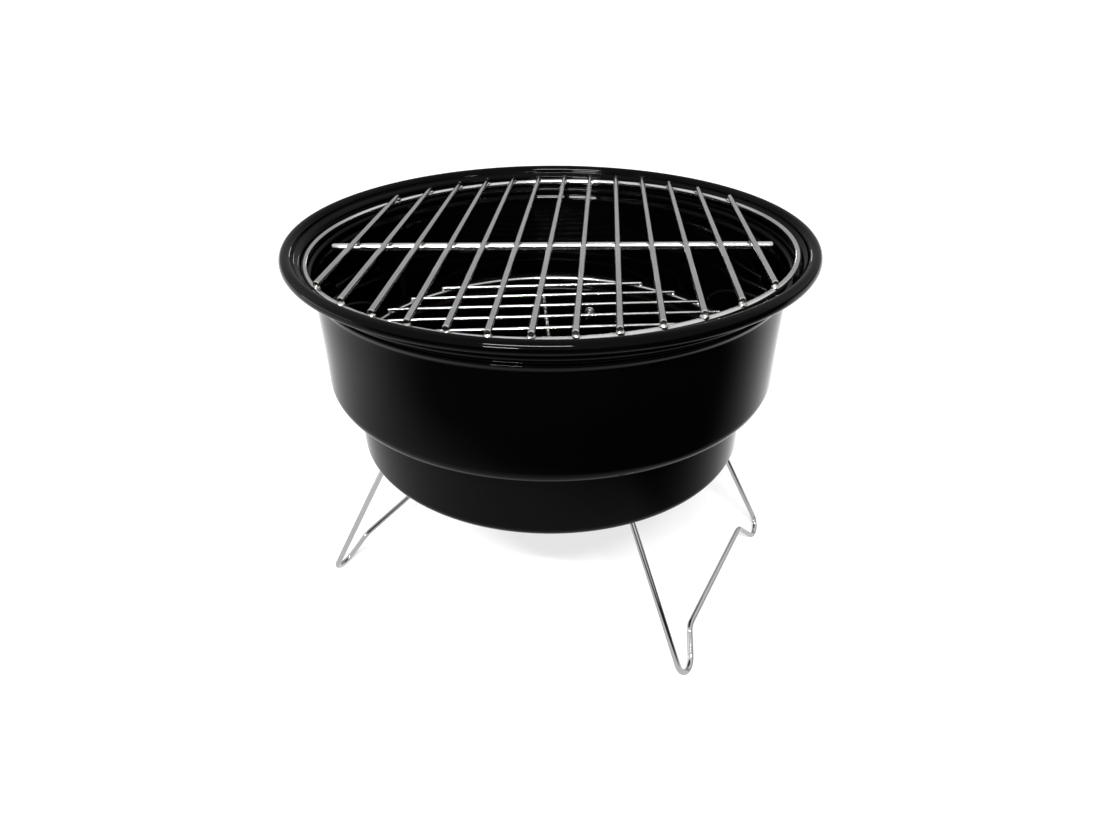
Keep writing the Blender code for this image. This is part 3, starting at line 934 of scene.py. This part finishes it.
def placed_group(tree, group, vector, **values):
    node = place_node(tree, "ShaderNodeGroup", node_tree=group)
    tree.links.new(vector, node.inputs["Vector"])
    for key, value in values.items():
        node.inputs[key].default_value = value
    return node


def give_bump(tree, shader, height, strength, distance):
    bump = place_node(tree, "ShaderNodeBump")
    bump.inputs["Strength"].default_value = strength
    bump.inputs["Distance"].default_value = distance
    tree.links.new(height, bump.inputs["Height"])
    tree.links.new(bump.outputs["Normal"], shader.inputs["Normal"])


straw_stain = (0.31, 0.29, 0.26)
soot = (0.05, 0.045, 0.04)
dust = (0.10, 0.10, 0.095)


def plated_wire(name, colour, dull, roughness, turn, grain=1.0):
    """Bright plating on a drawn wire: its pattern runs along the wire once turned by that angle."""
    material, tree, shader, where = new_finish(name, 1.0)
    turned = place_node(tree, "ShaderNodeMapping", vector_type="POINT")
    turned.inputs["Rotation"].default_value = (0.0, 0.0, turn)
    tree.links.new(where, turned.inputs["Vector"])
    drawn = placed_group(tree, drawn_finish, turned.outputs["Vector"])
    weld = placed_group(tree, weld_stain, where)
    marks = placed_group(tree, handling_marks, where, Smears=55.0)
    cloud = ramp_value(tree, drawn.outputs["Cloud"], 0.35, 0.7)
    base = mixed_colour(tree, cloud, colour, dull)
    base = mixed_colour(tree, drawn.outputs["Pits"], base, tuple(0.45 * c for c in colour))
    stained = mixed_colour(
        tree, math_node(tree, "MULTIPLY", weld.outputs["Stain"], 0.55), base, straw_stain)
    sooty = math_node(tree, "MULTIPLY", weld.outputs["Soot"], 0.65)
    tree.links.new(mixed_colour(tree, sooty, stained, soot), shader.inputs["Base Color"])
    lines = math_node(tree, "SUBTRACT", drawn.outputs["Lines"], 0.5)
    rough = added(tree, roughness, lines, 0.10 * grain)
    rough = added(tree, rough, marks.outputs["Smear"], 0.05 * grain)
    rough = added(tree, rough, weld.outputs["Stain"], 0.10, clamp=True)
    tree.links.new(rough, shader.inputs["Roughness"])
    height = math_node(
        tree, "SUBTRACT", math_node(tree, "MULTIPLY", drawn.outputs["Lines"], 0.30),
        drawn.outputs["Pits"])
    give_bump(tree, shader, height, 0.20 * grain, 0.00003)
    return material


def plated_sheet(name, colour, dull, roughness, spangle):
    """Plated pressed steel: crystal patches, a little grain, and wear along the edges."""
    material, tree, shader, where = new_finish(name, 1.0)
    drawn = placed_group(tree, drawn_finish, where, Lines=1500.0)
    worn = placed_group(tree, edge_wear, where)
    marks = placed_group(tree, handling_marks, where, Smears=120.0)
    patch = place_node(tree, "ShaderNodeSeparateColor")
    tree.links.new(cell_node(tree, where, spangle).outputs["Color"], patch.inputs["Color"])
    base = mixed_colour(
        tree, math_node(tree, "MULTIPLY", patch.outputs[0], 0.8), colour, dull)
    base = mixed_colour(tree, drawn.outputs["Pits"], base, tuple(0.5 * c for c in dull))
    bright = tuple(min(1.0, 1.35 * c) for c in colour)
    tree.links.new(
        mixed_colour(tree, worn.outputs["Wear"], base, bright), shader.inputs["Base Color"])
    cells_differ = math_node(tree, "SUBTRACT", patch.outputs[1], 0.5)
    rough = added(tree, roughness, cells_differ, 0.16)
    rough = added(tree, rough, marks.outputs["Smear"], 0.08)
    rough = added(tree, rough, worn.outputs["Wear"], -0.12, clamp=True)
    tree.links.new(rough, shader.inputs["Roughness"])
    height = math_node(
        tree, "SUBTRACT", math_node(tree, "MULTIPLY", drawn.outputs["Cloud"], 0.5),
        drawn.outputs["Pits"])
    give_bump(tree, shader, height, 0.4, 0.00004)
    return material


# Black enamel: deep black, the slight waviness of a fired coat, a fine grain, smears and dust
deepest_black = (0.0002, 0.0002, 0.0002)
palest_black = (0.0005, 0.0005, 0.0006)
enamel, tree, shader, where = new_finish("black_enamel", 0.0)
shader.inputs["Specular IOR Level"].default_value = 0.05
marks = placed_group(tree, handling_marks, where, Smears=26.0)
depth = ramp_value(tree, noise_node(tree, where, 11.0, 3.0), 0.3, 0.7)
black = mixed_colour(tree, depth, deepest_black, palest_black)
dusty = math_node(tree, "MULTIPLY", marks.outputs["Dust"], 0.04)
tree.links.new(mixed_colour(tree, dusty, black, dust), shader.inputs["Base Color"])
rough = added(tree, 0.05, marks.outputs["Smear"], 0.05)
rough = added(tree, rough, marks.outputs["Dust"], 0.35, clamp=True)
tree.links.new(rough, shader.inputs["Roughness"])
waves = noise_node(tree, where, 75.0, 1.0, 0.4)
peel = noise_node(tree, where, 420.0, 2.0, 0.5)
give_bump(tree, shader, added(tree, waves, peel, 0.10), 0.06, 0.00008)

quarter_turn = 0.5 * math.pi
coal_bright = (0.62, 0.62, 0.61)
coal_dull = (0.52, 0.52, 0.51)
coal_rough = 0.16
grate_chrome = plated_wire(
    "grate_chrome", (0.60, 0.60, 0.60), (0.54, 0.54, 0.535), 0.13, -grate_turn)
cross_chrome = plated_wire(
    "cross_chrome", (0.54, 0.54, 0.54), (0.49, 0.49, 0.485), 0.18,
    quarter_turn - grate_turn - grate_cross_turn)
coal_plating = plated_wire(
    "coal_plating", coal_bright, coal_dull, coal_rough, quarter_turn - coal_turn)
coal_cross_plating = plated_wire(
    "coal_cross_plating", coal_bright, coal_dull, coal_rough, -coal_turn)
leg_chrome = plated_wire(
    "leg_chrome", (0.47, 0.47, 0.47), (0.44, 0.44, 0.435), 0.035, 0.0, 0.3)
zinc = plated_sheet("zinc_plate", (0.50, 0.51, 0.52), (0.42, 0.43, 0.42), 0.34, 420.0)
screw_steel = plated_sheet("screw_steel", (0.58, 0.58, 0.58), (0.52, 0.52, 0.51), 0.22, 900.0)


def give(piece, material, body, slot, *nodes):
    piece.data.materials.clear()
    piece.data.materials.append(material)
    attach(piece, body)
    if nodes:
        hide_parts(*nodes)


give(bowl, enamel, "bowl_body", "black_enamel", "bowl")
give(grate_ring, grate_chrome, "cooking_grate", "grate_chrome", "cooking_grate_ring")
give(grate_cross, cross_chrome, "cooking_grate", "grate_chrome", "cooking_grate_cross_wire")
give(grate_welds, grate_chrome, "cooking_grate", "grate_chrome")
for i, bar in enumerate(grate_bars):
    node = "cooking_grate_bar_%02d" % (i + 1)
    give(bar, grate_chrome, "cooking_grate", "grate_chrome", node)
give(coal_ring, coal_plating, "charcoal_grate", "coal_grate_wire", "charcoal_grate_ring")
give(
    coal_cross, coal_cross_plating, "charcoal_grate", "coal_grate_wire",
    "charcoal_grate_cross_wire")
give(coal_welds, coal_plating, "charcoal_grate", "coal_grate_wire")
for i, wire in enumerate(coal_wires):
    node = "charcoal_grate_wire_%02d" % (i + 1)
    give(wire, coal_plating, "charcoal_grate", "coal_grate_wire", node)
for leg_name, leg in legs.items():
    give(leg, leg_chrome, leg_name + "_leg", "leg_chrome", "leg_" + leg_name)
for key, (one_screw, one_washer, one_nut) in fasteners.items():
    label = "leg_%s_%s_" % key
    give(clips[key], zinc, "bowl_body", "zinc_plate", label + "clip")
    give(one_screw, screw_steel, "bowl_body", "screw_steel", label + "screw")
    give(one_washer, zinc, "bowl_body", "zinc_plate", label + "washer")
    give(one_nut, zinc, "bowl_body", "zinc_plate", label + "nut")
give(drum_screw, screw_steel, "bowl_body", "screw_steel", "drum_screw")
give(drum_washer, zinc, "bowl_body", "zinc_plate", "drum_screw_washer")
give(drum_nut, zinc, "bowl_body", "zinc_plate", "drum_screw_nut")

# Camera, at the place the photograph was taken from
camera_place = Vector((0.17682, -0.32246, 0.33221))
camera_yaw = math.radians(28.83)
camera_pitch = math.radians(31.55)
camera_roll = math.radians(-0.29)
bpy.ops.object.camera_add()
camera = bpy.context.object
camera.matrix_world = (
    Matrix.Translation(camera_place)
    @ Matrix.Rotation(camera_yaw, 4, "Z")
    @ Matrix.Rotation(0.5 * math.pi - camera_pitch, 4, "X")
    @ Matrix.Rotation(camera_roll, 4, "Z"))
camera.data.sensor_width = 36.0
camera.data.lens = 24.50
bpy.context.scene.camera = camera
bpy.context.scene.view_settings.view_transform = "Standard"
to_right = Vector((math.cos(camera_yaw), math.sin(camera_yaw), 0.0))
to_back = Vector((-math.sin(camera_yaw), math.cos(camera_yaw), 0.0))
bowl_middle = Vector((0.0, 0.0, 0.16))


def studio_place(azimuth, elevation, distance):
    """A place round the bowl: azimuth 0 is behind it as the camera sees it, 90 is on its right."""
    turn = math.radians(azimuth)
    level = distance * math.cos(math.radians(elevation))
    place = to_right * level * math.sin(turn) + to_back * level * math.cos(turn)
    return place + bowl_middle + Vector((0.0, 0.0, distance * math.sin(math.radians(elevation))))


def measured(tree, operation, vector, other):
    """How far a vector reaches along a direction, or how far it is from a place."""
    node = place_node(tree, "ShaderNodeVectorMath", operation=operation)
    node.inputs[1].default_value = tuple(other)
    tree.links.new(vector, node.inputs[0])
    return node.outputs["Value"]


def mixed_value(tree, share, first, second):
    node = place_node(tree, "ShaderNodeMix", data_type="FLOAT")
    feed(tree, node.inputs[0], share)
    feed(tree, node.inputs[2], first)
    feed(tree, node.inputs[3], second)
    return node.outputs[0]


def mixed_shader(tree, share, first, second):
    node = place_node(tree, "ShaderNodeMixShader")
    for socket, output in zip(node.inputs, (share, first, second)):
        tree.links.new(output, socket)
    return node.outputs["Shader"]


def ray_kinds(tree):
    """Two outputs: 1 for a ray from the lens, and 1 for a ray that a mirror or a glass sends on."""
    seen = place_node(tree, "ShaderNodeLightPath")
    from_mirror = math_node(
        tree, "MAXIMUM", seen.outputs["Is Glossy Ray"], seen.outputs["Is Transmission Ray"])
    return seen.outputs["Is Camera Ray"], from_mirror


# Brightness of the floor and the world, in which 1 is white
paper_shade = 0.32
# Painted shade: the floor glows less to the lens near the bowl than far from it
lens_near, lens_far = 0.64, 0.90
# Painted reflection: what mirrors alone see of the floor, dark in front and brighter than white
# behind
mirror_front, mirror_back, mirror_right = 0.03, 1.50, 0.1
# Painted reflection: the brightness of the world that only mirrors see
painted_wall_bright, painted_wall_dull, painted_wall_right = 1.05, 0.50, 0.08
ambient = 0.30

# Floor: white paper to the lens, with a soft shadow, its glow weaker near the bowl: painted shade
# round it. A mirror sees only a painted reflection on it: dark in front, bright towards the back,
# and white round the bowl except on the right
bpy.ops.object.select_all(action="DESELECT")
bpy.ops.mesh.primitive_plane_add(size=60.0)
floor = bpy.context.object
floor.name = "floor"
paper, tree, shader, on_floor = new_finish("floor_paper", 0.0)
shader.inputs["Base Color"].default_value = (paper_shade, paper_shade, paper_shade, 1.0)
shader.inputs["Roughness"].default_value = 0.9
shader.inputs["Specular IOR Level"].default_value = 0.0
from_middle = measured(tree, "DISTANCE", on_floor, (0.0, 0.0, 0.0))
# Painted shade round the bowl: less glow near the middle
to_lens = ramp_value(tree, from_middle, 0.15, 1.3, lens_near, lens_far)
backward = measured(tree, "DOT_PRODUCT", on_floor, to_back - 0.25 * to_right)
# Painted reflection, seen only by mirrors: dark in front of the bowl, bright behind it, white near
# it except on its right
far_mirrored = ramp_value(tree, backward, -0.22, 0.08, mirror_front, mirror_back)
off_left = measured(tree, "DISTANCE", on_floor, -0.08 * to_right)
near_left = ramp_value(tree, off_left, 0.22, 0.34, 1.0, 0.0)
across = measured(tree, "DOT_PRODUCT", on_floor, to_right)
not_right = ramp_value(tree, across, 0.12, 0.18, 1.0, mirror_right)
near_bowl = math_node(tree, "MULTIPLY", near_left, not_right)
mirrored = mixed_value(tree, near_bowl, far_mirrored, 1.0)
from_lens, from_mirror = ray_kinds(tree)
glow = place_node(tree, "ShaderNodeEmission")
tree.links.new(mixed_value(tree, from_mirror, to_lens, mirrored), glow.inputs["Strength"])
both = place_node(tree, "ShaderNodeAddShader")
tree.links.new(shader.outputs["BSDF"], both.inputs[0])
tree.links.new(glow.outputs["Emission"], both.inputs[1])
pale = mixed_shader(tree, from_lens, shader.outputs["BSDF"], both.outputs["Shader"])
as_mirrored = mixed_shader(tree, from_mirror, pale, glow.outputs["Emission"])
tree.links.new(as_mirrored, tree.nodes["Material Output"].inputs["Surface"])
floor.data.materials.append(paper)

# World: white to the lens. A mirror sees a painted reflection in it: a grey wall behind, brighter
# overhead and on the camera's side, and nearly black low on the right
world = bpy.data.worlds.new("studio")
bpy.context.scene.world = world
world.use_nodes = True
tree = world.node_tree
direction = place_node(tree, "ShaderNodeTexCoord").outputs["Generated"]
# Painted reflection, seen only by mirrors: brighter overhead and on the camera's side, nearly black
# low on the right
ahead = measured(tree, "DOT_PRODUCT", direction, to_back + Vector((0.0, 0.0, -0.45)))
painted_walls = ramp_value(tree, ahead, 0.20, 0.62, painted_wall_bright, painted_wall_dull)
beside = measured(tree, "DOT_PRODUCT", direction, to_right + Vector((0.0, 0.0, -1.0)))
low_right = ramp_value(tree, beside, 0.60, 0.80, 1.0, painted_wall_right)
mirrored = math_node(tree, "MULTIPLY", painted_walls, low_right)
from_lens, from_mirror = ray_kinds(tree)
level = mixed_value(tree, from_mirror, ambient, mirrored)
backdrop = tree.nodes["Background"]
tree.links.new(mixed_value(tree, from_lens, level, 1.0), backdrop.inputs["Strength"])
backdrop.inputs["Color"].default_value = (1.0, 1.0, 1.0, 1.0)


def strip_light(name, azimuth, elevation, distance, width, height, radiance):
    """A long soft box: Blender's power for an area light is four times area times radiance."""
    bpy.ops.object.light_add(type="AREA")
    lamp = bpy.context.object
    lamp.name = name
    lamp.data.shape = "RECTANGLE"
    lamp.data.size = width
    lamp.data.size_y = height
    lamp.data.energy = 4.0 * width * height * radiance
    place = studio_place(azimuth, elevation, distance)
    aim = (place - bowl_middle).to_track_quat("Z", "Y")
    lamp.matrix_world = Matrix.Translation(place) @ aim.to_matrix().to_4x4()
    lamp.visible_camera = False


strip_radiance = 260.0
strip_light("strip_high", -169.6, 46.0, 3.0, 1.50, 0.14, strip_radiance)
strip_light("strip_low", -161.5, 12.0, 3.0, 0.66, 0.14, strip_radiance)
strip_light("back_low", 2.2, 5.0, 3.0, 0.40, 0.12, 6.0)
strip_light("side_left", -88.0, 2.0, 1.1, 0.60, 0.16, 2.5)
